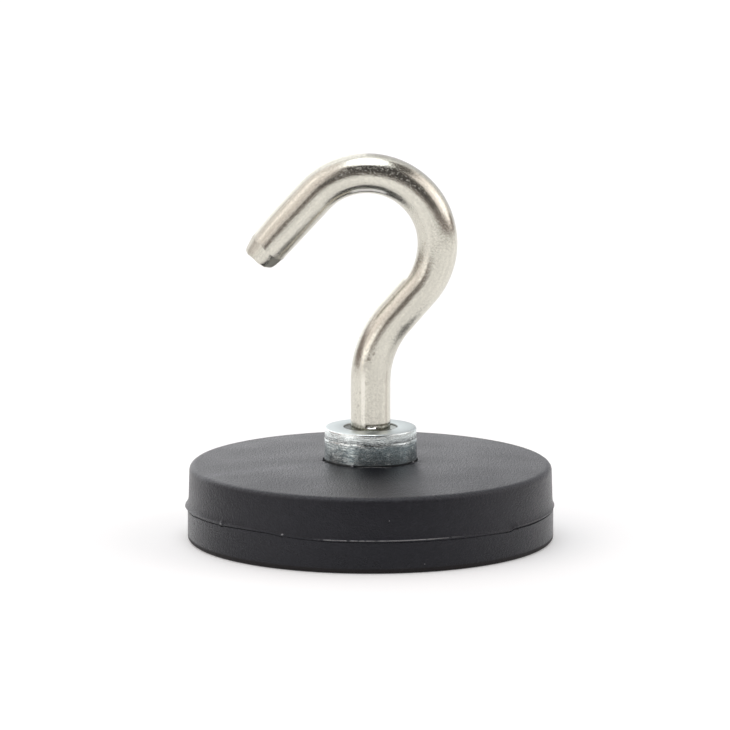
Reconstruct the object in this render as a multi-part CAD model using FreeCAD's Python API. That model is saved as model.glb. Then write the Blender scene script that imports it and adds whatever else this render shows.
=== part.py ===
"""Magnet fishing magnet: a rubber-coated disc magnet with an open wire hook screwed into its centre bush.

Millimetres. The origin is the centre of the pull face, the flat underside that sticks to the find. +Z points
up through the bush, and the hook is bent in the XZ plane, with its open side towards -X.
Each piece is written as one STEP file, named after the piece.
"""
import FreeCAD, Part
import math
import os

# Rubber coat: one moulding round the whole disc, with the mould's parting line on its side.
coat_r = 33.0              # lower half of the side wall
side_wall = 2.6            # rubber outside the back plate
floor_t = 1.2              # rubber between the magnets and the find
cover_t = 3.4              # rubber above the back plate, at the rim
parting_z = 6.1            # height of the parting line
parting_step = 0.22        # how far the upper half of the mould stands inside the lower one
upper_draft = 0.18         # the upper half leans in by this much at its top
flash_w = 0.5              # flash that the mould squeezed out at the parting line
flash_t = 0.5              # its thickness where it leaves the wall
flash_edge_t = 0.14        # its thickness at its edge
dome_rise = 0.9            # the top climbs by this much from its rim to the bush
top_round = 1.45
bottom_round = 0.3

# Neodymium discs, in two rings whose poles alternate.
magnet_r = 5.0             # a disc of the outer ring
magnet_t = 5.0
magnet_round = 0.2
magnet_web = 0.8           # least gap between two discs of a ring
ring_gap = 1.2             # between the two rings
rim_margin = 0.9           # from the outer ring to the rim of the plate

# Locator: moulded plate with a pocket for each disc.
pocket_clear = 0.1
locator_bore_clear = 0.3   # round the riveted end of the bush
locator_web = 1.2          # wall between the inner ring and the centre hole

# Steel back plate, to which the discs are glued.
plate_t = 4.0
plate_chamfer = 0.5

# Threaded bush: turned steel, riveted into the back plate.
bush_r = 8.35
bush_stand = 6.0           # how far it stands out of the rubber
bush_top_step = 0.13       # the top band is turned this much smaller
bush_top_band = 2.1
bush_chamfer = 0.4
countersink_r = 4.9
spigot_r = 6.0
rivet_head_overlap = 0.8   # the peened end is this much wider than the hole it fills
rivet_head_t = 0.8
bush_floor_t = 1.87        # below the drill point
key_groove_depth = 0.7     # groove that the rubber grips
key_groove_w = 1.2
key_groove_lift = 1.0      # above the back plate
drill_point_deg = 118.0

# M8 thread between bush and hook, drawn as rings one pitch apart.
thread_r = 4.0
thread_pitch = 1.25
thread_clear = 0.08        # radial gap between the two threads
crest_flat = thread_pitch / 8
flank_deg = 30.0
hook_thread_depth = 0.57 * thread_pitch
pitch_line_depth = 0.3248 * thread_pitch   # from the nominal radius in to the pitch line
bore_end_gap = 1.0         # from the end of the hook to the bottom of the bore

# Hook: one wire, bent in the XZ plane.
shank_above_bush = 8.3     # straight wire before the neck
neck_bend_r = 17.6
neck_turn_deg = 41.0
reach = 7.0                # straight run between neck and loop
loop_bend_r = 12.7
loop_turn_deg = 178.3
arm = 15.6                 # straight run from the loop to the tip
tip_bevel_length = 1.9     # the cut end tapers over this length
tip_face_r = 2.1           # to a flat of this radius
thread_end_bevel = 0.8

# Heights, worked up from the pull face.
magnet_z = floor_t
plate_z = magnet_z + magnet_t
plate_top_z = plate_z + plate_t
rim_z = plate_top_z + cover_t
dome_z = rim_z + dome_rise
bush_top_z = dome_z + bush_stand
spigot_end_z = plate_z - rivet_head_t

# Radii, worked in from the rubber.
plate_r = coat_r - side_wall
rivet_head_r = spigot_r + rivet_head_overlap
locator_bore_r = rivet_head_r + locator_bore_clear
outer_ring_r = plate_r - rim_margin - magnet_r
upper_r = coat_r - parting_step
upper_top_r = upper_r - upper_draft

# The discs of the inner ring fill the room between the outer ring and the centre hole.
inner_room_start = locator_bore_r + locator_web
inner_room_end = outer_ring_r - magnet_r - ring_gap
inner_magnet_r = (inner_room_end - inner_room_start) / 2
inner_ring_r = inner_room_start + inner_magnet_r
MAGNET_RINGS = [(outer_ring_r, magnet_r), (inner_ring_r, inner_magnet_r)]

# Thread radii: the bush's groove clears the hook's crest, and the bush's crest clears the hook's root.
# The thread is rolled, so the plain wire is as thick as the thread is at its pitch line.
hook_crest_r = thread_r - thread_clear / 2
hook_root_r = hook_crest_r - hook_thread_depth
bush_groove_r = hook_crest_r + thread_clear
bush_bore_r = hook_root_r + thread_clear
wire_r = thread_r - pitch_line_depth
mouth_z = bush_top_z - (countersink_r - bush_groove_r)
drill_point = bush_bore_r / math.tan(math.radians(drill_point_deg / 2))
bore_floor_z = spigot_end_z + bush_floor_t + drill_point
hook_end_z = bore_floor_z + bore_end_gap
engaged_turns = (mouth_z - hook_end_z) / thread_pitch

AXIS = FreeCAD.Vector(0, 0, 1)
ORIGIN = FreeCAD.Vector(0, 0, 0)


def turned(profile):
    """Solid of revolution about Z from a closed outline of (radius, height) points."""
    points = [FreeCAD.Vector(r, 0, z) for r, z in profile]
    face = Part.Face(Part.makePolygon(points + points[:1]))
    return face.revolve(ORIGIN, AXIS, 360)


def disc(radius, z, height):
    return Part.makeCylinder(radius, height, FreeCAD.Vector(0, 0, z))


def circles_at(shape, radius, z):
    """Circular edges of a turned shape with this radius at this height."""
    found = []
    for edge in shape.Edges:
        if not edge.Degenerated and isinstance(edge.Curve, Part.Circle):
            centre = edge.Curve.Center
            if abs(edge.Curve.Radius - radius) < 1e-4 and abs(centre.z - z) < 1e-4:
                found.append(edge)
    return found


def dome_centre_z():
    """Height of the centre of the sphere that the domed top is part of."""
    run = upper_top_r ** 2 - bush_r ** 2
    return rim_z - (run / dome_rise - dome_rise) / 2


def coat_outline():
    """Outside of the rubber, before it is opened for what it encloses."""
    below = parting_z - flash_t / 2
    above = parting_z + flash_t / 2
    edge_r = coat_r + flash_w
    wall = turned([
        (0, 0),
        (coat_r, 0),
        (coat_r, below),
        (edge_r, parting_z - flash_edge_t / 2),
        (edge_r, parting_z + flash_edge_t / 2),
        (upper_r, above),
        (upper_top_r, rim_z),
        (upper_top_r, bush_top_z),
        (0, bush_top_z),
    ])
    centre_z = dome_centre_z()
    sphere_r = math.hypot(upper_top_r, rim_z - centre_z)
    sphere = Part.makeSphere(sphere_r, FreeCAD.Vector(0, 0, centre_z))
    body = wall.common(sphere)
    body = body.makeFillet(bottom_round, circles_at(body, coat_r, 0))
    return body.makeFillet(top_round, circles_at(body, upper_top_r, rim_z))


def rubber_coat():
    """Rubber moulded round the plate, the locator and the foot of the bush."""
    coat = coat_outline().cut(back_plate_blank())
    coat = coat.cut(locator_blank())
    return coat.cut(bush_blank())


def back_plate_blank():
    plate = disc(plate_r, plate_z, plate_t)
    edges = circles_at(plate, plate_r, plate_z) + circles_at(plate, plate_r, plate_top_z)
    return plate.makeChamfer(plate_chamfer, edges)


def back_plate():
    return back_plate_blank().cut(disc(spigot_r, plate_z, plate_t))


def ring_places(ring_r, disc_r):
    """Centres of the discs of one ring: as many as fit, and an even number, so that the poles alternate."""
    room = math.pi / math.asin((disc_r + magnet_web / 2) / ring_r)
    count = 2 * int(room / 2)
    angles = [2 * math.pi * k / count for k in range(count)]
    return [FreeCAD.Vector(ring_r * math.cos(a), ring_r * math.sin(a), magnet_z) for a in angles]


def magnet(place, disc_r):
    body = Part.makeCylinder(disc_r, magnet_t, place)
    rims = circles_at(body, disc_r, magnet_z) + circles_at(body, disc_r, plate_z)
    return body.makeFillet(magnet_round, rims)


def locator_blank():
    return disc(plate_r, magnet_z, magnet_t).cut(disc(locator_bore_r, magnet_z, magnet_t))


def magnet_locator():
    plate = locator_blank()
    for ring_r, disc_r in MAGNET_RINGS:
        for place in ring_places(ring_r, disc_r):
            plate = plate.cut(Part.makeCylinder(disc_r + pocket_clear, magnet_t, place))
    return plate


def bush_blank():
    """Outside of the bush: peened end, spigot, body with its key groove, and the smaller top band."""
    groove_z = plate_top_z + key_groove_lift
    band_r = bush_r - bush_top_step
    band_z = bush_top_z - bush_top_band
    return turned([
        (0, spigot_end_z),
        (rivet_head_r, spigot_end_z),
        (rivet_head_r, plate_z),
        (spigot_r, plate_z),
        (spigot_r, plate_top_z),
        (bush_r, plate_top_z),
        (bush_r, groove_z),
        (bush_r - key_groove_depth, groove_z),
        (bush_r - key_groove_depth, groove_z + key_groove_w),
        (bush_r, groove_z + key_groove_w),
        (bush_r, band_z - bush_top_step),
        (band_r, band_z),
        (band_r, bush_top_z - bush_chamfer),
        (band_r - bush_chamfer, bush_top_z),
        (0, bush_top_z),
    ])


def thread_rings(crest_r, root_r):
    """Outline of the thread, from the end of the hook up to the last ring below the mouth of the bush."""
    flank = (crest_r - root_r) * math.tan(math.radians(flank_deg))
    outline = []
    for ring in range(int(engaged_turns)):
        middle = hook_end_z + (ring + 0.5) * thread_pitch
        outline += [
            (root_r, middle - crest_flat / 2 - flank),
            (crest_r, middle - crest_flat / 2),
            (crest_r, middle + crest_flat / 2),
            (root_r, middle + crest_flat / 2 + flank),
        ]
    return outline


def bush_bore():
    """Hollow of the bush: drilled bottom, threaded bore, plain relief and countersunk mouth."""
    grooves = thread_rings(bush_groove_r, bush_bore_r)
    grooves.pop()
    return turned(
        [(0, bore_floor_z - drill_point), (bush_bore_r, bore_floor_z)]
        + grooves
        + [(bush_groove_r, mouth_z), (countersink_r, bush_top_z), (0, bush_top_z)]
    )


def threaded_bush():
    return bush_blank().cut(bush_bore())


class Wire:
    """Round wire laid down from a start point, run by run, in the XZ plane."""

    def __init__(self, radius, start_z):
        self.radius = radius
        self.at = FreeCAD.Vector(0, 0, start_z)
        self.heading = 90.0
        self.pieces = []

    def direction(self, turn=0.0):
        angle = math.radians(self.heading + turn)
        return FreeCAD.Vector(math.cos(angle), 0, math.sin(angle))

    def straight(self, length):
        self.pieces.append(Part.makeCylinder(self.radius, length, self.at, self.direction()))
        self.at = self.at + self.direction() * length

    def bend(self, bend_r, turn_deg):
        """Arc that turns the heading by turn_deg, positive towards the left."""
        side = math.copysign(90.0, turn_deg)
        centre = self.at + self.direction(side) * bend_r
        section = Part.Face(Part.Wire(Part.makeCircle(self.radius, self.at, self.direction())))
        self.pieces.append(section.revolve(centre, FreeCAD.Vector(0, -1, 0), turn_deg))
        self.heading += turn_deg
        self.at = centre - self.direction(side) * bend_r

    def tapered_end(self, length, face_r):
        """Cut end of the wire, tapered to a small flat."""
        self.pieces.append(Part.makeCone(self.radius, face_r, length, self.at, self.direction()))
        self.at = self.at + self.direction() * length

    def solid(self):
        return self.pieces[0].multiFuse(self.pieces[1:]).removeSplitter()


def hook_thread():
    """Rolled thread at the foot of the hook, with a bevelled end and a run-out into the plain wire."""
    rings = thread_rings(hook_crest_r, hook_root_r)
    start_r = hook_root_r - thread_end_bevel
    above_bevel = [p for p in rings if p[1] > hook_end_z + thread_end_bevel]
    runout_z = above_bevel[-1][1] + wire_r - hook_root_r
    return turned(
        [(0, hook_end_z), (start_r, hook_end_z), (hook_root_r, hook_end_z + thread_end_bevel)]
        + above_bevel
        + [(wire_r, runout_z), (wire_r, bush_top_z), (0, bush_top_z)]
    )


def hook():
    wire = Wire(wire_r, bush_top_z)
    wire.pieces.append(hook_thread())
    wire.straight(shank_above_bush)
    wire.bend(neck_bend_r, -neck_turn_deg)
    wire.straight(reach)
    wire.bend(loop_bend_r, loop_turn_deg)
    wire.straight(arm - tip_bevel_length)
    wire.tapered_end(tip_bevel_length, tip_face_r)
    return wire.solid()


def pieces():
    """Every piece of the magnet, by name."""
    named = {
        "rubber_coat": rubber_coat(),
        "back_plate": back_plate(),
        "magnet_locator": magnet_locator(),
        "threaded_bush": threaded_bush(),
        "hook": hook(),
    }
    for ring, (ring_r, disc_r) in enumerate(MAGNET_RINGS, start=1):
        for number, place in enumerate(ring_places(ring_r, disc_r), start=1):
            named[f"magnet_ring{ring}_{number:02d}"] = magnet(place, disc_r)
    return named


os.makedirs("parts", exist_ok=True)
for name, shape in pieces().items():
    shape.exportStep(f"parts/{name}.step")
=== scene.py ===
import math

import bmesh
import bpy
from mathutils import Matrix, Vector, noise


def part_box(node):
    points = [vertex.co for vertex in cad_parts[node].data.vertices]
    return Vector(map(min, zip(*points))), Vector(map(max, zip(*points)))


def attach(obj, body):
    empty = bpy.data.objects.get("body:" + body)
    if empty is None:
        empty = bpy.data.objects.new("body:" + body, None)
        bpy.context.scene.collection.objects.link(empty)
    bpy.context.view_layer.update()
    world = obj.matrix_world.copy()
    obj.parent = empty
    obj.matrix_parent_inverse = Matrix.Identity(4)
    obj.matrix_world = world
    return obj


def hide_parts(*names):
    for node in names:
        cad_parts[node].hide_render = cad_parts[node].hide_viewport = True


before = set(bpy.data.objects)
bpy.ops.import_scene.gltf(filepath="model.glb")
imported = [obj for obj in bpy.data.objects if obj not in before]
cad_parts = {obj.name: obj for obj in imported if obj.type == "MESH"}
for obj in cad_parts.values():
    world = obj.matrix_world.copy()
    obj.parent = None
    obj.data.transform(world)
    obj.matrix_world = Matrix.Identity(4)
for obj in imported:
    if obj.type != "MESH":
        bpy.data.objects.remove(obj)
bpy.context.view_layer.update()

mm = 0.001


# ---- Back plate ----
# A disc of mild steel, 4 mm thick, that carries the magnets and closes their field.
# It is turned flat on its faces, left bare and slightly stained under the rubber.

class Socket:
    """An output of a shader node. Sums, products and powers of sockets add the Math nodes for them."""

    def __init__(self, finish, output):
        self.finish = finish
        self.output = output

    def maths(self, operation, *values):
        return self.finish.node("Math", {"operation": operation}, dict(enumerate(values)))

    def __add__(self, other):
        return self.maths("ADD", self, other)

    def __radd__(self, other):
        return self.maths("ADD", other, self)

    def __sub__(self, other):
        return self.maths("SUBTRACT", self, other)

    def __rsub__(self, other):
        return self.maths("SUBTRACT", other, self)

    def __mul__(self, other):
        return self.maths("MULTIPLY", self, other)

    def __rmul__(self, other):
        return self.maths("MULTIPLY", other, self)

    def __truediv__(self, other):
        return self.maths("DIVIDE", self, other)

    def __pow__(self, other):
        return self.maths("POWER", self, other)

    def __abs__(self):
        return self.maths("ABSOLUTE", self)

    def smooth(self, low, high):
        """Rises smoothly from 0 at low to 1 at high, or falls if low is above high."""
        settings = {"interpolation_type": "SMOOTHSTEP"}
        return self.finish.node("MapRange", settings, {"Value": self, "From Min": low, "From Max": high})


class Finish:
    """A node tree that is being built: the finish of a piece, or the light of the studio."""

    def __init__(self, tree):
        self.tree = tree
        self.tree.nodes.clear()

    def node(self, kind, settings=None, inputs=None, output=0):
        """Adds a node, sets it up, fills or links its inputs and gives back one of its outputs."""
        made = self.tree.nodes.new("ShaderNode" + kind)
        for name, value in (settings or {}).items():
            setattr(made, name, value)
        for name, value in (inputs or {}).items():
            if isinstance(value, Socket):
                self.tree.links.new(value.output, made.inputs[name])
            else:
                made.inputs[name].default_value = value
        return Socket(self, made.outputs[output]) if made.outputs else None

    def place(self):
        """Where a point lies on the piece, in millimetres."""
        coordinates = self.node("TexCoord", output="Object")
        return self.node("VectorMath", {"operation": "SCALE"}, {0: coordinates, "Scale": 1 / mm})

    def stretched(self, vector, scale):
        """The same coordinates, stretched by a scale for each axis."""
        return self.node("VectorMath", {"operation": "MULTIPLY"}, {0: vector, 1: scale})

    def noise(self, vector, scale, detail=2.0, roughness=0.5):
        inputs = {"Vector": vector, "Scale": scale, "Detail": detail, "Roughness": roughness}
        return self.node("TexNoise", None, inputs)

    def mix(self, factor, a, b):
        """One colour where the factor is 0 and the other where it is 1."""
        return self.node("Mix", {"data_type": "RGBA"}, {0: factor, 6: a, 7: b}, 2)

    def bump(self, height, distance, strength=1.0, normal=None):
        inputs = {"Height": height, "Distance": distance, "Strength": strength}
        if normal:
            inputs["Normal"] = normal
        return self.node("Bump", None, inputs)

    def axes(self, vector):
        parts = self.node("SeparateXYZ", None, {0: vector}).output.node
        return [Socket(self, output) for output in parts.outputs]

    def surface(self, **inputs):
        """Ends the tree in a Principled surface with these sockets."""
        named = {name.replace("_", " "): value for name, value in inputs.items()}
        shader = self.node("BsdfPrincipled", None, named)
        self.node("OutputMaterial", None, {"Surface": shader})


def new_finish(name):
    material = bpy.data.materials.new(name)
    material.use_nodes = True
    return material, Finish(material.node_tree)


def dress(node, material):
    """Gives a carried-over solid its finish."""
    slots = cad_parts[node].data.materials
    slots.clear()
    slots.append(material)


ground_steel, finish = new_finish("ground_steel")
place = finish.place()
x, y, z = finish.axes(place)
radius = (x * x + y * y) ** 0.5
facing_marks = finish.node("Math", {"operation": "SINE"}, {0: radius * 18.0 + finish.noise(place, 0.4) * 6.0})
stain = finish.noise(place, 0.16, 5.0, 0.6).smooth(0.5, 0.68)
scratches = finish.noise(finish.stretched(place, (0.3, 6.0, 6.0)), 1.1, 3.0).smooth(0.62, 0.7)
finish.surface(
    Base_Color=finish.mix(stain, (0.46, 0.46, 0.47, 1), (0.23, 0.19, 0.16, 1)),
    Metallic=1 - stain * 0.35,
    Roughness=0.34 + stain * 0.25 + finish.noise(place, 1.3, 4.0) * 0.1,
    Normal=finish.bump(facing_marks * 0.5 + scratches, 0.01 * mm, 0.6),
)
dress("back_plate", ground_steel)


# ---- Magnet discs ----
# Sintered neodymium discs, nickel-plated because the bare alloy rusts. Two rings of them are
# glued to the back plate with their poles alternating, and they hold themselves in place.

magnet_plating, finish = new_finish("magnet_plating")
place = finish.place()
mottle = finish.noise(place, 0.9, 5.0, 0.6)
rubbed = finish.noise(finish.stretched(place, (1.0, 1.0, 3.0)), 2.4, 3.0).smooth(0.58, 0.72)
chips = finish.noise(place, 5.5, 2.0).smooth(0.72, 0.75)
bright_nickel = finish.mix(mottle, (0.60, 0.585, 0.55, 1), (0.71, 0.70, 0.665, 1))
finish.surface(
    Base_Color=finish.mix(chips, bright_nickel, (0.16, 0.15, 0.145, 1)),
    Metallic=1 - chips * 0.5,
    Roughness=0.17 + rubbed * 0.16 + chips * 0.3,
    Normal=finish.bump(mottle * 0.4 - chips, 0.012 * mm, 0.5),
)
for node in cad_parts:
    if node.startswith("magnet_ring"):
        dress(node, magnet_plating)


# ---- Magnet locator ----
# A moulded nylon plate with a round pocket for every disc, which keeps the rings apart while the
# glue sets and the rubber is moulded. Natural nylon: cream, waxy, with faint flow lines.

natural_nylon, finish = new_finish("natural_nylon")
place = finish.place()
flow = finish.node("TexWave", {"wave_type": "RINGS", "rings_direction": "Z"},
                   {"Vector": place, "Scale": 0.06, "Distortion": 5.0, "Detail": 3.0})
cloud = finish.noise(place, 0.2, 4.0)
finish.surface(
    Base_Color=finish.mix(cloud * 0.6 + flow * 0.4, (0.70, 0.66, 0.54, 1), (0.80, 0.78, 0.69, 1)),
    Roughness=0.42 + cloud * 0.16,
    Subsurface_Weight=0.15,
    Subsurface_Scale=0.8 * mm,
    Normal=finish.bump(finish.noise(place, 3.0, 4.0) + flow * 0.3, 0.015 * mm, 0.5),
)
dress("magnet_locator", natural_nylon)


# ---- Threaded bush ----
# Turned from steel bar, drilled, countersunk and tapped M8, then riveted into the back plate by its
# lower end. Bluish zinc plate over plain turning marks. The top band is cleaned up a little smaller.

bush_low, bush_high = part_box("threaded_bush")
bush_r = bush_high.x
bush_top = bush_high.z
rivet_head_z = bush_low.z
plate_low, plate_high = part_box("back_plate")
plate_z = plate_low.z
plate_top = plate_high.z
band_step = 0.08 * mm
band_height = 2.1 * mm
ledge_height = 0.22 * mm
rough_rows = 10
rim_round = 0.42 * mm
countersink_r = 4.9 * mm
countersink_step = 0.35 * mm
dome_top = 14.5 * mm
spigot_r = 6.0 * mm
rivet_head_r = 6.8 * mm
groove_z = plate_top + 1.0 * mm
groove_height = 1.2 * mm
groove_r = bush_r - 0.7 * mm
pitch = 1.25 * mm
bush_crest_r = 3.3275 * mm
bush_root_r = 4.04 * mm
hook_root_r = 3.2475 * mm
hook_crest_r = 3.96 * mm
engaged_rings = 7
mouth_z = bush_top - (countersink_r - bush_root_r)
drill_point = bush_crest_r / math.tan(math.radians(59))
bore_floor = rivet_head_z + 1.87 * mm + drill_point
hook_end = bore_floor + 1.0 * mm


def thread_rings(root_r, crest_r):
    """Outline of the thread rings, one pitch apart, from the end of the hook upwards."""
    flat = pitch / 16
    flank = abs(crest_r - root_r) * math.tan(math.radians(30))
    outline = []
    for ring in range(engaged_rings):
        middle = hook_end + (ring + 0.5) * pitch
        outline.append((root_r, middle - flat - flank))
        outline.append((crest_r, middle - flat))
        outline.append((crest_r, middle + flat))
        outline.append((root_r, middle + flat + flank))
    return outline


def turned(outline, rounds, steps):
    """Spins an outline of (radius, height) points about Z. Rounds gives a radius for some of its corners."""
    bm = bmesh.new()
    verts = [bm.verts.new((r, 0, h)) for r, h in outline]
    for pair in zip(verts, verts[1:]):
        bm.edges.new(pair)
    for corner, size in rounds.items():
        bmesh.ops.bevel(bm, geom=[verts[corner]], offset=size, offset_type="OFFSET", affect="VERTICES",
                        segments=4, profile=0.5, material=-1)
    bmesh.ops.spin(bm, geom=bm.verts[:] + bm.edges[:], axis=(0, 0, 1), cent=(0, 0, 0),
                   angle=2 * math.pi, steps=steps, use_merge=True)
    bmesh.ops.remove_doubles(bm, verts=bm.verts[:], dist=0.002 * mm)
    return bm


def new_piece(name, bm, body, material, sharp_angle=32):
    """Closes a mesh, gives it its finish and hangs it on its body."""
    bmesh.ops.recalc_face_normals(bm, faces=bm.faces[:])
    mesh = bpy.data.meshes.new(name)
    bm.to_mesh(mesh)
    bm.free()
    mesh.shade_smooth()
    mesh.set_sharp_from_angle(angle=math.radians(sharp_angle))
    mesh.materials.append(material)
    piece = bpy.data.objects.new(name, mesh)
    bpy.context.scene.collection.objects.link(piece)
    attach(piece, body)
    return piece


def azimuth_of(point):
    """Direction of a point seen from the axis, in degrees: -90 is the front, 0 is the right."""
    return math.degrees(math.atan2(point.y, point.x))


bore_rings = thread_rings(bush_crest_r, bush_root_r)[-2::-1]
bore = [(bush_root_r, mouth_z)] + bore_rings + [(bush_crest_r, bore_floor)]
band_z = bush_top - band_height
rough_start = band_z - 0.6 * mm
rough_end = band_z + 0.4 * mm
rough_band = []
for row in range(rough_rows + 1):
    rough_band.append((bush_r, rough_start + (rough_end - rough_start) * row / rough_rows))
bush_outline = [
    (0, rivet_head_z),
    (rivet_head_r, rivet_head_z),
    (rivet_head_r, plate_z),
    (spigot_r, plate_z),
    (spigot_r, plate_top),
    (bush_r, plate_top),
    (bush_r, groove_z),
    (groove_r, groove_z),
    (groove_r, groove_z + groove_height),
    (bush_r, groove_z + groove_height),
] + rough_band + [
    (bush_r - band_step, bush_top),
    (countersink_r, bush_top),
    (countersink_r - 0.05 * mm, bush_top - countersink_step),
] + bore + [(0, bore_floor - drill_point)]
rim = 10 + len(rough_band)
bush = turned(bush_outline, {1: 0.25 * mm, rim: rim_round, rim + 1: 0.05 * mm}, 384)
for v in bush.verts:
    radial = Vector((v.co.x, v.co.y, 0)).normalized()
    outside = math.hypot(v.co.x, v.co.y) > bush_r - 0.01 * mm
    if outside and rough_start - 0.01 * mm < v.co.z < rough_end + 0.01 * mm:
        ledge = band_z + 0.2 * mm * noise.noise(radial * 5.0) + 0.12 * mm * noise.noise(radial * 24.0)
        share = min(1.0, max(0.0, (v.co.z - ledge) / ledge_height + 0.5))
        chatter = 0.09 * mm * noise.noise(Vector((radial.x * 28, radial.y * 28, v.co.z / mm * 5)))
        in_band = min(1.0, (v.co.z - rough_start) / (0.2 * mm), (rough_end - v.co.z) / (0.2 * mm))
        v.co -= radial * (band_step * share + abs(chatter) * max(0.0, in_band))

bush_zinc, finish = new_finish("bush_zinc")
place = finish.place()
x, y, z = finish.axes(place)
side_wall = 1 - z.smooth(bush_top / mm - 0.14, bush_top / mm - 0.03)
turning = finish.noise(finish.stretched(place, (0.16, 0.16, 4.5)), 1.0, 4.0, 0.7)
scuffs = finish.noise(finish.stretched(place, (0.7, 0.7, 3.0)), 1.2, 4.0, 0.7)
grit = finish.noise(place, 3.4, 4.0, 0.7)
patches = finish.noise(finish.stretched(place, (1.0, 1.0, 2.2)), 0.8, 5.0, 0.75)
foot = z.smooth(bush_top / mm - 1.6, bush_top / mm - 3.0)
# Stain patches, heavier towards the foot, plus painted shade that darkens the right of the wall.
stains_and_shade = patches.smooth(0.40, 0.58) * (0.1 + foot * 0.75) + x.smooth(1.0, 6.0) * (0.18 + foot * 0.04)
# Painted shade across the front of the foot.
shaded = foot * (x + scuffs * 6.0).smooth(-4.0, 3.0) * (x - scuffs * 5.0).smooth(7.0, 2.0)
# The stains and the painted shade together, on the side wall only.
dull_and_shaded = (stains_and_shade + shaded * 0.7) * side_wall
rubbed = (scuffs + x * -0.012).smooth(0.52, 0.62) * side_wall * (1 - foot * 0.7)
lines = finish.noise(finish.stretched(place, (0.45, 0.45, 7.0)), 1.0, 4.0, 0.75)
lines = lines.smooth(0.47, 0.56) * side_wall
# A near-black band at the foot of the bush, just above the rubber: painted shade and a painted reflection of
# the black rubber. It is also rougher.
seat_shade = z.smooth(dome_top / mm + 0.42, dome_top / mm + 0.2)
# Painted shade darkens the countersink and the bore, a little less just inside the countersink's edge.
well_shade = (x * x + y * y + grit * 4.0).smooth(26.0, 24.0) * z.smooth(bush_top / mm - 0.15, bush_top / mm - 0.02)
well_shade = (x * x + y * y).smooth(25.0, 23.5) - well_shade * 0.4
# The top face is given a darker tone than the side wall: painted shade on the top face.
zinc_tone = finish.mix(side_wall, (0.625, 0.68, 0.675, 1), (0.89, 0.955, 0.945, 1))
# Darker towards the left of the foot: a painted reflection of the dark rubber below.
zinc_tone = finish.mix(foot * x.smooth(1.0, -2.0) * 0.4, zinc_tone, (0.42, 0.47, 0.46, 1))
zinc_tone = finish.mix(dull_and_shaded, zinc_tone, (0.20, 0.245, 0.26, 1))
zinc_tone = finish.mix(lines * (0.32 + foot * 0.33), zinc_tone, (0.20, 0.25, 0.26, 1))
specks = grit.smooth(0.45, 0.62) * side_wall * (0.1 + foot * 0.15)
zinc_tone = finish.mix(specks, zinc_tone, (0.24, 0.28, 0.29, 1))
zinc_tone = finish.mix(rubbed * 0.9, zinc_tone, (0.93, 0.98, 0.97, 1))
zinc_tone = finish.mix(seat_shade * 0.85, zinc_tone, (0.03, 0.03, 0.03, 1))
relief = (turning * 1.1 + scuffs * 0.9 + grit * 0.5) * (0.12 + side_wall * (0.88 - foot * 0.35))
finish.surface(
    Base_Color=finish.mix(well_shade * 0.75, zinc_tone, (0.16, 0.165, 0.14, 1)),
    Metallic=1.0,
    Roughness=0.40 - side_wall * 0.25 + dull_and_shaded * 0.06 + grit * 0.06 + seat_shade * 0.3,
    Normal=finish.bump(relief, 0.035 * mm, 0.9),
)
bush_piece = new_piece("turned_bush", bush, "magnet", bush_zinc)
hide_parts("threaded_bush")


# ---- Rubber coat ----
# Black rubber moulded in one shot round the plate, the locator and the foot of the bush. The two
# halves of the mould leave a parting line, with flash that was trimmed by hand at the front.

coat_low, coat_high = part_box("rubber_coat")
locator_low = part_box("magnet_locator")[0]
cad_flash = 0.5 * mm
coat_r = coat_high.x - cad_flash
upper_r = 32.84 * mm
upper_top_r = 32.66 * mm
rim_z = 13.6 * mm
dome_z = dome_top
plate_r = plate_high.x
plate_chamfer = 0.5 * mm
floor_z = locator_low.z
locator_bore_r = 7.1 * mm
parting_z = 6.1 * mm
flash_tip = 0.05 * mm
flash_foot = 0.5 * mm
widest_flash = 0.47 * mm
flash_wave = 0.03 * mm
tag_spread = 0.9
groove_depth = 0.3 * mm
groove_opened = 0.17 * mm
seam_climb_reach = 3.4 * mm
bottom_round = 0.75 * mm
top_round = 0.95 * mm
lip_start = bush_r + 0.75 * mm
dome_points = 14
coat_steps = 720


def dome_height(r):
    """Height of the domed top at a distance from the axis."""
    run = upper_top_r ** 2 - bush_r ** 2
    rise = dome_z - rim_z
    sphere_r = (run / rise + rise) / 2
    return rim_z + math.sqrt(sphere_r ** 2 - r * r) - math.sqrt(sphere_r ** 2 - upper_top_r ** 2)


def flash_at(azimuth):
    """Width of the flash, height of its flare and climb of the parting line, in one direction."""
    stations = [
        (-180, 0.47, 1.05, -0.05), (-168, 0.44, 1.0, 0.15), (-157, 0.34, 0.9, 0.42), (-147, 0.16, 0.65, 0.45),
        (-133, 0.04, 0.4, 0.66), (-125, 0.02, 0.3, 0.66), (-118, 0.02, 0.3, 0.34), (-109, 0.03, 0.2, 0.04),
        (-101, 0.14, 0.16, 0.0), (-80, 0.14, 0.16, -0.03), (-70, 0.08, 0.2, -0.12), (-50, 0.05, 0.3, -0.2),
        (-41, 0.04, 0.3, -0.34), (-38.5, 0.12, 0.5, 0.12), (-15, 0.15, 0.8, 0.1), (0, 0.17, 0.9, 0.05),
        (40, 0.22, 0.9, 0.0), (75, 0.36, 1.1, 0.15), (120, 0.28, 0.9, 0.0), (150, 0.42, 1.0, -0.1),
        (180, 0.47, 1.05, -0.05),
    ]
    for (start, *before), (end, *after) in zip(stations, stations[1:]):
        if start <= azimuth <= end:
            share = (azimuth - start) / (end - start)
            share = share * share * (3 - 2 * share)
            return [(a + (b - a) * share) * mm for a, b in zip(before, after)]


def fades(azimuth, middle, spread):
    """1 in the middle direction, and less to both sides until it is 0 at the spread."""
    return max(0.0, 1 - abs(azimuth - middle) / spread)


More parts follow.
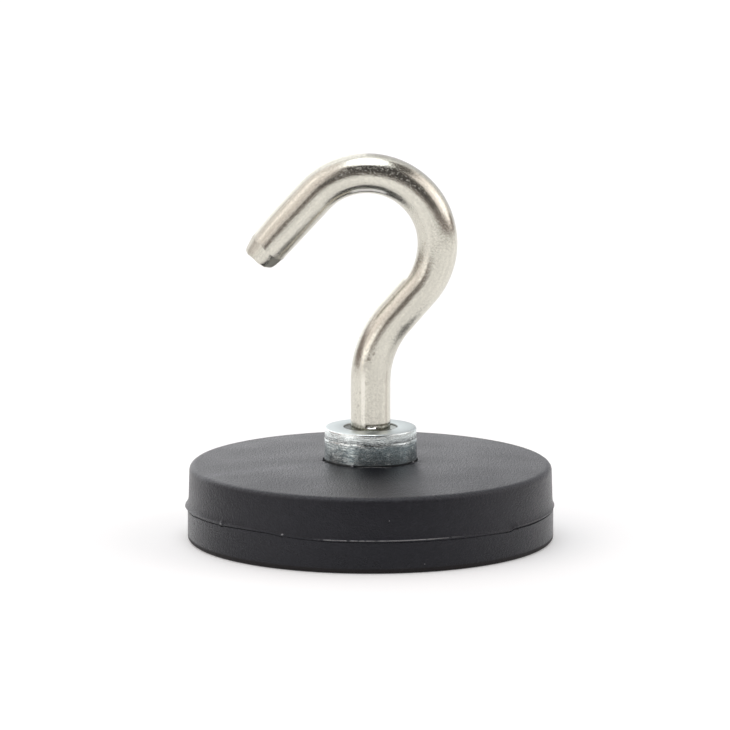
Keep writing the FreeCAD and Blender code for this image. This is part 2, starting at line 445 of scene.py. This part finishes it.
top_start = upper_top_r - 1.3 * mm
dome = []
for step in range(dome_points + 1):
    r = top_start + (lip_start - top_start) * step / dome_points
    dome.append((r, dome_height(r)))
coat_outline = [
    (0, coat_low.z),
    (coat_r, coat_low.z),
    (coat_r, parting_z - 2.5 * mm),
    (coat_r, parting_z - 1.2 * mm),
    (coat_r, parting_z - flash_foot - 0.16 * mm),
    (coat_r - groove_depth, parting_z - flash_foot - 0.11 * mm),
    (coat_r - groove_depth, parting_z - flash_foot - 0.03 * mm),
    (coat_r, parting_z - flash_foot + 0.02 * mm),
    (coat_r, parting_z - flash_foot / 2),
    (coat_r, parting_z - flash_tip),
    (coat_r, parting_z),
    (upper_r + 0.08 * mm, parting_z + 0.15 * mm),
    (upper_r + 0.05 * mm, parting_z + 0.35 * mm),
    (upper_r + 0.02 * mm, parting_z + 0.7 * mm),
    (upper_r, parting_z + 1.4 * mm),
    (upper_r - 0.05 * mm, parting_z + 3.2 * mm),
    (upper_top_r, rim_z),
] + dome + [
    (bush_r + 0.55 * mm, dome_z),
    (bush_r + 0.40 * mm, dome_z + 0.02 * mm),
    (bush_r + 0.26 * mm, dome_z),
    (bush_r + 0.16 * mm, dome_z - 0.12 * mm),
    (bush_r + 0.08 * mm, dome_z - 0.3 * mm),
    (bush_r, dome_z - 0.4 * mm),
    (bush_r, groove_z + groove_height),
    (groove_r, groove_z + groove_height),
    (groove_r, groove_z),
    (bush_r, groove_z),
    (bush_r, plate_top),
    (plate_r - plate_chamfer, plate_top),
    (plate_r, plate_top - plate_chamfer),
    (plate_r, floor_z),
    (locator_bore_r, floor_z),
    (locator_bore_r, plate_z),
    (rivet_head_r, plate_z),
    (rivet_head_r, rivet_head_z),
    (0, rivet_head_z),
]
coat = turned(coat_outline, {1: bottom_round, 16: top_round}, coat_steps)
torn_tags = [(-143.5, 0.34), (-118.3, 0.30), (-37.5, 0.22)]
shreds = [(-112.0, 0.6, 3.0), (-28.5, 0.5, 2.5), (-33.5, 0.35, 2.0), (-158.0, 0.25, 2.0)]
for v in coat.verts:
    radius = math.hypot(v.co.x, v.co.y)
    azimuth = azimuth_of(v.co)
    height = v.co.z - parting_z
    if radius > plate_r + 0.5 * mm and -3.0 * mm < height < 4.5 * mm:
        width, flare_height, climb = flash_at(azimuth)
        if abs(height) < 0.1 * mm:
            width += flash_wave * noise.noise(Vector((azimuth * 0.35, 0, 3)))
        for tag, reach_out in torn_tags:
            width += reach_out * mm * fades(azimuth, tag, tag_spread)
        if -0.22 * mm < height + flash_foot < -0.07 * mm:
            v.co.z -= groove_opened * fades(azimuth, -31, 20)
        if radius < coat_r - 0.1 * mm and height < 0:
            filled = 0.8 * fades(azimuth, -118, 14)
            v.co += (coat_r - radius) * filled * v.co.xy.to_3d().normalized()
        flare = 1 - height / flare_height if height > 0 else 1 + height / flash_foot
        if -1.0 * mm < height < 0:
            v.co.z -= height * 0.5 * (1 - min(1.0, width / widest_flash))
        v.co.z += climb * max(0.0, 1 - abs(height) / seam_climb_reach)
        grown = (radius + width * min(1.0, max(0.0, flare))) / radius
        v.co.x *= grown
        v.co.y *= grown
    if bush_r + 0.01 * mm < radius < lip_start and v.co.z > dome_z - 0.5 * mm:
        front_lip = max(0.0, 1 - (abs(azimuth + 88) / 16) ** 2)
        nick = fades(azimuth, -168, 6) if radius < bush_r + 0.5 * mm else 0
        v.co.z += (0.12 * front_lip - 0.4 * nick + 0.04 * noise.noise(v.co / mm * 3.0)) * mm
        for shred, rise, spread in shreds:
            on_lip = max(0.0, 1 - abs(radius - bush_r - 0.35 * mm) / (0.3 * mm))
            v.co.z += rise * mm * on_lip * fades(azimuth, shred, spread)

coat_rubber, finish = new_finish("coat_rubber")
place = finish.place()
x, y, z = finish.axes(place)
grain = finish.noise(place, 2.3, 4.0, 0.7)
mottle = finish.noise(place, 0.7, 5.0, 0.65)
cloudy = finish.noise(place, 0.085, 3.0, 0.5)
# A slightly lighter, slanting streak across the left of the top, also a little glossier.
slanted = finish.node("VectorRotate", {"rotation_type": "Z_AXIS"},
                    {"Vector": place, "Angle": math.radians(-18)})
along_slant, across_slant, up = finish.axes(slanted)
wander = finish.noise(place, 0.10, 3.0, 0.6) * 6.0
top_streak = 1 - (abs(across_slant + wander - 1.2) / 4.2).smooth(0.0, 1.0)
top_streak = top_streak * along_slant.smooth(-4.0, -14.0) * z.smooth(12.5, 13.5) * mottle.smooth(0.2, 0.8)
# Painted shade on the rounded bottom edge: a dark brown tint there, and more roughness so the edge shows less
# of the floor.
foot_shade = z.smooth(1.15, 0.75)
fine_grain = finish.noise(finish.stretched(place, (1.0, 0.33, 1.0)), 2.6, 3.0, 0.75)


def rubber_spot(point, size):
    """1 at a small torn or dusty spot of the rubber."""
    offset = finish.node("VectorMath", {"operation": "DISTANCE"}, {0: place, 1: point}, 1)
    return (offset + grain * size).smooth(size * 1.3, size * 0.7)


# A broken light line along the trimmed flash at the front: a painted highlight where the cut edge catches the
# light.
cut_edge_highlight = (abs(z - parting_z / mm + 0.05) / 0.11).smooth(1.0, 0.5) * y.smooth(-20.0, -28.0)
cut_edge_highlight = cut_edge_highlight * x.smooth(-10.6, -7.5) * x.smooth(18.0, 8.0)
cut_edge_highlight = cut_edge_highlight * finish.noise(place, 1.1, 3.0).smooth(0.3, 0.5)
# A light line on the lip round the bush, at the front: a painted highlight.
lip_highlight = (abs((x * x + y * y) ** 0.5 - bush_r / mm - 0.42) / 0.16).smooth(1.0, 0.5) * z.smooth(14.0, 14.3)
lip_highlight = lip_highlight * (abs(x - 0.6) / 3.4).smooth(1.0, 0.7) * y.smooth(0.0, -1.0)
torn = rubber_spot((-26.85, -19.9, 6.55), 0.42) + rubber_spot((-15.7, -29.2, 6.45), 0.36)
torn = torn + rubber_spot((3.3, -32.6, 9.6), 0.16) + rubber_spot((9.6, -31.6, 1.6), 0.16)
torn = torn + rubber_spot((-3.28, -8.11, 14.9), 0.5) + rubber_spot((7.69, -4.18, 14.85), 0.42)
dark_spot = rubber_spot((-19.7, -9.9, 14.2), 0.42)
black = finish.mix(mottle.smooth(0.4, 0.75), (0.0045, 0.0045, 0.0072, 1), (0.0095, 0.0095, 0.0135, 1))
black = finish.mix(fine_grain.smooth(0.5, 0.75) * 0.3, black, (0.026, 0.026, 0.031, 1))
# Lighter rubber along the rounded rim, broken up by the grain: a painted highlight.
rim_highlight = ((x * x + y * y) ** 0.5).smooth(31.3, 32.1) * z.smooth(12.7, 13.3) * grain.smooth(0.3, 0.6)
black = finish.mix(rim_highlight * 0.45, black, (0.045, 0.046, 0.052, 1))
# The lighter streak, the torn spots and a dark spot, with the painted highlights of the cut flash and of the
# lip.
spots_and_highlights = finish.mix(top_streak, black, (0.050, 0.052, 0.058, 1))
spots_and_highlights = finish.mix(cut_edge_highlight * 0.85 + lip_highlight, spots_and_highlights, (0.30, 0.30, 0.305, 1))
spots_and_highlights = finish.mix(torn * 0.9, spots_and_highlights, (0.30, 0.30, 0.31, 1))
spots_and_highlights = finish.mix(dark_spot, spots_and_highlights, (0.002, 0.002, 0.002, 1))
lower_half = z.smooth(6.0, 5.0)
haze = mottle * 0.05 + cloudy.smooth(0.3, 0.7) * 0.06
finish.surface(
    Base_Color=finish.mix(foot_shade * 0.85, spots_and_highlights, (0.011, 0.0075, 0.006, 1)),
    Roughness=0.27 + haze - top_streak * 0.03 + foot_shade * 0.4 - lower_half * 0.04,
    Specular_IOR_Level=0.39,
    Specular_Tint=(0.905, 0.93, 1.0, 1),
    Normal=finish.bump(grain * 0.5 + mottle * 0.35 + fine_grain * 2.3, 0.08 * mm, 0.9),
)
coat_piece = new_piece("moulded_coat", coat, "magnet", coat_rubber, 40)
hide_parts("rubber_coat")


# ---- Hook ----
# One length of 7.2 mm steel wire, threaded at its foot and bent cold round two rollers in one plane.
# The far end is cut to a blunt taper. Bright nickel plate over the finished hook, with small pits.

wire_r = 3.594 * mm
wire_sides = 72
shank_top = bush_top + 8.3 * mm
neck_bend_r = 17.6 * mm
neck_turn = 41.0
reach = 7.0 * mm
loop_bend_r = 12.7 * mm
loop_turn = 178.3
arm = 15.6 * mm
nose = 2.7 * mm
nose_rings = [(0.15, 3.54), (0.6, 3.44), (0.6, 3.32), (0.65, 3.18), (0.3, 3.08), (0.26, 2.96), (0.14, 2.76)]
nose_shift = 0.25 * mm
nose_skew = 0.15 * mm
crease_wander = 0.35 * mm
crease_drop = 1.0 * mm
press_depth = 0.4 * mm
press_length = 7.0 * mm
end_bevel = 0.8 * mm
nick_z = bush_top + 0.16 * mm
nick_width = 1.8 * mm
nick_depth = 0.42 * mm
ring_spacing = 0.5 * mm
fine_spacing = 0.08 * mm
fine_rings_end = nick_z + 0.9 * mm
lean_start = 93.5
lean_length = 7.3
nose_lean = 0.36 * mm
cut_start = 100.85
cut_reach = 3.40
cut_side = Vector((-0.77, -0.64))

thread = [p for p in thread_rings(hook_root_r, hook_crest_r) if p[1] > hook_end + end_bevel]
runout = thread[-1][1] + wire_r - hook_root_r
hook_outline = [(0, hook_end), (hook_root_r - end_bevel, hook_end), (hook_root_r, hook_end + end_bevel)]
hook_outline += thread + [(wire_r, runout)]
hook = turned(hook_outline, {}, wire_sides)
straightened = hook.verts.layers.float_vector.new("straightened")
for v in hook.verts:
    v[straightened] = v.co / mm
ring = [e for e in hook.edges if all(abs(v.co.z - runout) < 1e-6 for v in e.verts)]
heading = 90.0
at = Vector((0, 0, runout))


def along(turn=0.0):
    """The way the wire runs here, turned by an angle in the plane of the hook."""
    angle = math.radians(heading + turn)
    return Vector((math.cos(angle), 0, math.sin(angle)))


def carry_on(matrix, length):
    """Draws the open end of the wire on by one ring, and keeps its place on the straightened wire."""
    global ring
    made = bmesh.ops.extrude_edge_only(hook, edges=ring)["geom"]
    verts = [g for g in made if isinstance(g, bmesh.types.BMVert)]
    ring = [g for g in made if isinstance(g, bmesh.types.BMEdge) and all(v in verts for v in g.verts)]
    bmesh.ops.transform(hook, matrix=matrix, verts=verts)
    for v in verts:
        v[straightened] = v[straightened] + Vector((0, 0, length / mm))
    return verts


def straight(length, spacing=ring_spacing):
    global at
    steps = max(1, round(length / spacing))
    for step in range(steps):
        carry_on(Matrix.Translation(along() * (length / steps)), length / steps)
    at = at + along() * length


def bend(bend_r, turn):
    """Bends the wire round a roller, positive to its left."""
    global at, heading
    side = math.copysign(90, turn)
    centre = at + along(side) * bend_r
    length = bend_r * math.radians(abs(turn))
    steps = round(length / ring_spacing)
    step_turn = Matrix.Rotation(-math.radians(turn / steps), 4, "Y")
    about = Matrix.Translation(centre) @ step_turn @ Matrix.Translation(-centre)
    for step in range(steps):
        carry_on(about, length / steps)
    heading += turn
    at = centre - along(side) * bend_r


straight(fine_rings_end - runout, fine_spacing)
straight(shank_top - fine_rings_end)
bend(neck_bend_r, -neck_turn)
straight(reach)
bend(loop_bend_r, loop_turn)
straight(arm - nose)
for v in [v for e in ring for v in e.verts]:
    v.tag = True
for v in [v for v in hook.verts if v.tag]:
    round_wire = Vector((v[straightened].x, v[straightened].y, 0)) / 3.0
    v.co += along() * crease_wander * noise.noise(round_wire * 1.3 + Vector((4, 0, 0)))
    v.co -= along() * crease_drop * max(0.0, -v[straightened].x - 2.3) / 1.3
ring_r = wire_r
for length, next_r in nose_rings:
    share = length * mm / nose
    step = along() * length * mm + along(90) * nose_shift * share
    shrink = Matrix.Translation(at + step) @ Matrix.Scale(next_r * mm / ring_r, 4) @ Matrix.Translation(-at)
    for v in carry_on(shrink, length * mm):
        v.co += along() * nose_skew * share * v[straightened].x * mm / wire_r
    at = at + step
    ring_r = next_r * mm
bmesh.ops.edgeloop_fill(hook, edges=ring)
for v in hook.verts:
    x, y, z = v[straightened]
    near_nose = min(1.0, max(0.0, (z - lean_start) / lean_length))
    v.co += along(90) * nose_lean * near_nose ** 2 * max(0.0, x / 3.6)
    reach_past = Vector((x, y)).dot(cut_side) - cut_reach
    if z > cut_start and reach_past > 0:
        v.co += (along(90) * cut_side.x - Vector((0, cut_side.y, 0))) * reach_past * mm

for v in hook.verts:
    above = v[straightened].z * mm - nick_z
    if 0 < above < 0.7 * mm and v.co.y < 0:
        share = math.sqrt(max(0.0, 1 - ((v.co.x - 0.2 * mm) / (nick_width / 2)) ** 2))
        v.co.y += share * max(0.0, min(above, nick_depth, (0.56 * mm - above) * 4))

loop_start = (shank_top + neck_bend_r * math.radians(neck_turn) + reach) / mm
for v in hook.verts:
    past = (v[straightened].z - loop_start) * mm
    if -0.4 * mm < past < press_length:
        heading = 90 - neck_turn + math.degrees(max(0.0, past) / loop_bend_r)
        depth = press_depth * min(1.0, 1 + past / (0.4 * mm)) * (1 - max(0.0, past) / press_length)
        v.co -= along(90) * max(0.0, -v[straightened].x * mm - wire_r + depth)

hook_nickel, finish = new_finish("hook_nickel")
wire_place = finish.node("Attribute", {"attribute_name": "straightened"}, output="Vector")
across, outward, along_wire = finish.axes(wire_place)
haze = finish.noise(wire_place, 0.45, 4.0, 0.6)
stains_foot = finish.noise(wire_place, 1.6, 3.0, 0.6).smooth(0.35, 0.6)
drawn = finish.noise(finish.stretched(wire_place, (1.1, 1.1, 0.05)), 1.0, 4.0, 0.65)
fine_drawn = finish.noise(finish.stretched(wire_place, (4.5, 4.5, 0.4)), 1.0, 3.0, 0.6)
stains = finish.noise(finish.stretched(wire_place, (1.0, 1.0, 0.7)), 1.1, 3.0, 0.6).smooth(0.66, 0.74)
specks = finish.noise(wire_place, 2.8, 4.0, 0.75).smooth(0.46, 0.66)
grit = finish.noise(wire_place, 3.0, 3.0, 0.7).smooth(0.38, 0.62)
outer_bend = along_wire.smooth(66.0, 71.0) * along_wire.smooth(86.0, 80.0) * across.smooth(-0.8, 0.3)
outer_bend = outer_bend * across.smooth(1.7, 0.9)
inner_bend = along_wire.smooth(48.0, 52.0) * across.smooth(-0.9, -2.2)
neck_bend = along_wire.smooth(28.0, 30.0) * along_wire.smooth(46.0, 42.0)
inner_bend = inner_bend + neck_bend * across.smooth(1.6, 3.0)
peel = finish.noise(finish.stretched(wire_place, (1.0, 1.0, 0.6)), 2.6, 4.0, 0.75) * outer_bend
crown = along_wire.smooth(65.0, 69.0) * along_wire.smooth(86.0, 81.0)
crown = crown * across.smooth(-0.2, 0.5) * across.smooth(2.3, 1.6)
pits = finish.noise(finish.stretched(wire_place, (1.0, 1.0, 0.7)), 2.6, 3.0, 0.75)
pits = pits.smooth(0.54, 0.64) * crown
gleam = (abs(across + 2.6) / 0.30).smooth(1.0, 0.6) * outward.smooth(0.0, -0.6)
gleam = gleam * along_wire.smooth(72.0, 74.0) * along_wire.smooth(82.0, 80.0)
sheared = along_wire.smooth(99.6, 100.8)
dents = finish.noise(wire_place, 1.3, 3.0, 0.6) * sheared


def wire_mark(point, size):
    """1 at a small mark on the straightened wire."""
    offset = finish.node("VectorMath", {"operation": "DISTANCE"}, {0: wire_place, 1: point}, 1)
    return (offset + fine_drawn * 0.3).smooth(size, size * 0.6)


marks = wire_mark((-0.3, -3.58, 34.5), 0.50) * 0.45 + wire_mark((-0.95, -3.47, 33.3), 0.60) * 0.6
marks = marks + wire_mark((-1.9, -3.05, 27.2), 0.45) * 0.4 + wire_mark((-2.2, -2.84, 24.8), 0.5) * 0.35
# Painted shade on the front of the shank.
front = (abs(across - 0.7) / 1.7).smooth(1.0, 0.55) * along_wire.smooth(36.0, 31.0) * outward.smooth(0, -1)
seat_mark = (abs(along_wire - 21.45 + fine_drawn * 0.3) / 0.24).smooth(1.0, 0.5) * across.smooth(-1.3, -0.7)
glint = (((along_wire - 20.88) / 0.34) ** 2 + ((across - 0.2) / 1.1) ** 2).smooth(1.1, 0.6)
soiled = along_wire.smooth(21.9, 21.0) * (1 - glint) * stains_foot
# A lighter lengthwise stripe on the front of the shank, left of the middle: a painted highlight.
stripe = (abs(across + 1.35) / 0.5).smooth(1.0, 0.4) * along_wire.smooth(32.0, 29.0) * outward.smooth(0, -1)
scratch = (abs(across + fine_drawn * 0.2 - 2.9) / 0.13).smooth(1.0, 0.4) * along_wire.smooth(32.0, 31.0)
drawn_and_shaded_tone = finish.mix(drawn.smooth(0.3, 0.7), (0.575, 0.56, 0.485, 1), (0.715, 0.695, 0.61, 1))
# Darkens the front of the shank: painted shade.
drawn_and_shaded_tone = finish.mix(front * 0.27, drawn_and_shaded_tone, (0.43, 0.415, 0.36, 1))
drawn_and_shaded_tone = finish.mix(specks * 0.26, drawn_and_shaded_tone, (0.44, 0.425, 0.375, 1))
drawn_and_shaded_tone = finish.mix(grit * 0.34, drawn_and_shaded_tone, (0.36, 0.345, 0.30, 1))
drawn_and_shaded_tone = finish.mix(0.17, drawn_and_shaded_tone, (0.92, 0.90, 0.82, 1))
nickel_tone = finish.mix(stripe * 0.8, drawn_and_shaded_tone, (0.84, 0.82, 0.74, 1))
wear_and_highlight_tone = finish.mix(stains * 0.4 + scratch * 0.5, nickel_tone, (0.40, 0.34, 0.28, 1))
wear_and_highlight_tone = finish.mix(seat_mark * 0.7 + soiled * 0.6, wear_and_highlight_tone, (0.15, 0.14, 0.11, 1))
# The glint at the foot of the shank and the gleam inside the loop are painted highlights.
wear_and_highlight_tone = finish.mix(glint + gleam, wear_and_highlight_tone, (1.0, 0.99, 0.95, 1))
dullness = drawn * 0.04 + specks * 0.04 + stains * 0.1
arm_polish = along_wire.smooth(84.0, 88.0) * along_wire.smooth(99.6, 99.0) * 0.035
under_crown = along_wire.smooth(67.0, 71.0) * along_wire.smooth(88.0, 84.0)
rolled = inner_bend * (0.13 - under_crown * 0.11)
end_rough = sheared * (0.06 + across.smooth(0.2, 1.5) * 0.25)
finish.surface(
    Base_Color=finish.mix(marks, wear_and_highlight_tone, (0.25, 0.22, 0.18, 1)),
    Metallic=1 - gleam * 0.95 - pits * 0.6 - inner_bend * 0.08,
    Roughness=0.08 + haze * 0.05 + dullness + rolled + end_rough - arm_polish,
    Normal=finish.bump(
        drawn + fine_drawn * 0.4 + haze * 0.9 + specks * 0.2 + peel * 1.9 + dents * 1.2 - marks * 0.4,
        0.035 * mm, 0.8,
    ),
)
hook_piece = new_piece("bent_hook", hook, "hook", hook_nickel, 11.5)
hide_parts("hook")


# ---- Studio ----
# A white board on a table in a white tent, with a soft box overhead, an umbrella at the left and a
# soft box at the right. The tent is open at the front, where bright metal mirrors the dark room.

board = bmesh.new()
bmesh.ops.create_grid(board, x_segments=1, y_segments=1, size=1.0)
bmesh.ops.scale(board, vec=(0.6, 0.65, 1), verts=board.verts[:])
bmesh.ops.translate(board, vec=(-0.1, 0.25, 0), verts=board.verts[:])
board_mesh = bpy.data.meshes.new("table_board")
board.to_mesh(board_mesh)
board.free()
board_object = bpy.data.objects.new("table_board", board_mesh)
bpy.context.scene.collection.objects.link(board_object)

board_white, finish = new_finish("board_white")
rays = finish.node("LightPath").output.node
shown = Socket(finish, rays.outputs["Is Camera Ray"]) + Socket(finish, rays.outputs["Is Glossy Ray"])
shown = shown + Socket(finish, rays.outputs["Is Transmission Ray"])
paper = finish.node("BsdfDiffuse", None, {"Color": (0.82, 0.82, 0.82, 1)})
lift = finish.node("Emission", None, {"Color": (1, 1, 1, 1), "Strength": shown * 0.23})
both = finish.node("AddShader", None, {0: paper, 1: lift})
finish.node("OutputMaterial", None, {"Surface": both})
board_mesh.materials.append(board_white)

world = bpy.data.worlds.new("studio")
world.use_nodes = True
bpy.context.scene.world = world
finish = Finish(world.node_tree)
x, y, z = finish.axes(finish.node("TexCoord", output="Generated"))
height = finish.node("Math", {"operation": "ARCSINE"}, {0: z}) * math.degrees(1)
side = finish.node("Math", {"operation": "ARCTAN2"}, {0: x * -1, 1: y * -1}) * math.degrees(1)


def window(left, right, low, high, soft):
    """1 inside a stretch of directions: left of the camera is positive, heights are above the horizon."""
    across = side.smooth(right - soft, right + soft) * side.smooth(left + soft, left - soft)
    return across * height.smooth(low - soft, low + soft) * height.smooth(high + soft, high - soft)


def round_window(left, up, radius, soft):
    """1 inside a round patch of directions."""
    return (((side - left) ** 2 + (height - up) ** 2) ** 0.5).smooth(radius + soft, radius - soft)


light = (1.0, 1.0, 1.0, 1)
light = finish.mix(side.smooth(122, 150) * height.smooth(65, 45), light, (1.41, 1.41, 1.43, 1))
light = finish.mix(side.smooth(-122, -150) * height.smooth(65, 45), light, (0.70, 0.70, 0.72, 1))
light = finish.mix(window(126, -128, -2.5, 72, 3.5), light, (0.30, 0.25, 0.235, 1))
light = finish.mix(window(26, -124, 9, 68, 5), light, (0.15, 0.14, 0.135, 1))
light = finish.mix(window(18, -40, 6, 60, 9), light, (0.085, 0.08, 0.08, 1))
light = finish.mix(window(124, 30, 18, 70, 6), light, (1.08, 1.01, 1.00, 1))
light = finish.mix(round_window(57, 28, 29, 4) * height.smooth(19, 12), light, (1.8, 1.75, 1.72, 1))
light = finish.mix(round_window(66, 34, 26, 6), light, (1.02, 0.93, 0.90, 1))
light = finish.mix(round_window(78, 42, 14, 12), light, (1.45, 1.38, 1.34, 1))
light = finish.mix(window(-55, -123, 11, 50, 5), light, (1.28, 1.19, 1.17, 1))
light = finish.mix(round_window(-92, 22, 16, 9), light, (2.0, 1.9, 1.87, 1))
light = finish.mix((z - y * 0.13 - x * x * 0.4).smooth(0.90, 0.935), light, (2.55, 2.6, 2.65, 1))
rays = finish.node("LightPath").output.node
shown = Socket(finish, rays.outputs["Is Camera Ray"]) + Socket(finish, rays.outputs["Is Transmission Ray"])
studio = finish.node("Background", None, {"Color": light, "Strength": 1.0})
white = finish.node("Background", None, {"Color": (1, 1, 1, 1), "Strength": 1.0})
finish.node("OutputWorld", None, {"Surface": finish.node("MixShader", None, {0: shown, 1: studio, 2: white})})


# ---- Camera ----
# A long lens, a little above the top of the disc, square to the plane of the hook.

camera_data = bpy.data.cameras.new("camera")
camera_data.lens = 450.5
camera_data.sensor_width = 36.0
camera_data.clip_end = 20.0
camera = bpy.data.objects.new("camera", camera_data)
camera.location = (-1.0 * mm, -1617.85 * mm, 325.76 * mm)
camera.rotation_euler = (math.radians(79.699), 0, 0)
bpy.context.scene.collection.objects.link(camera)
bpy.context.scene.camera = camera
bpy.context.scene.view_settings.view_transform = "Standard"
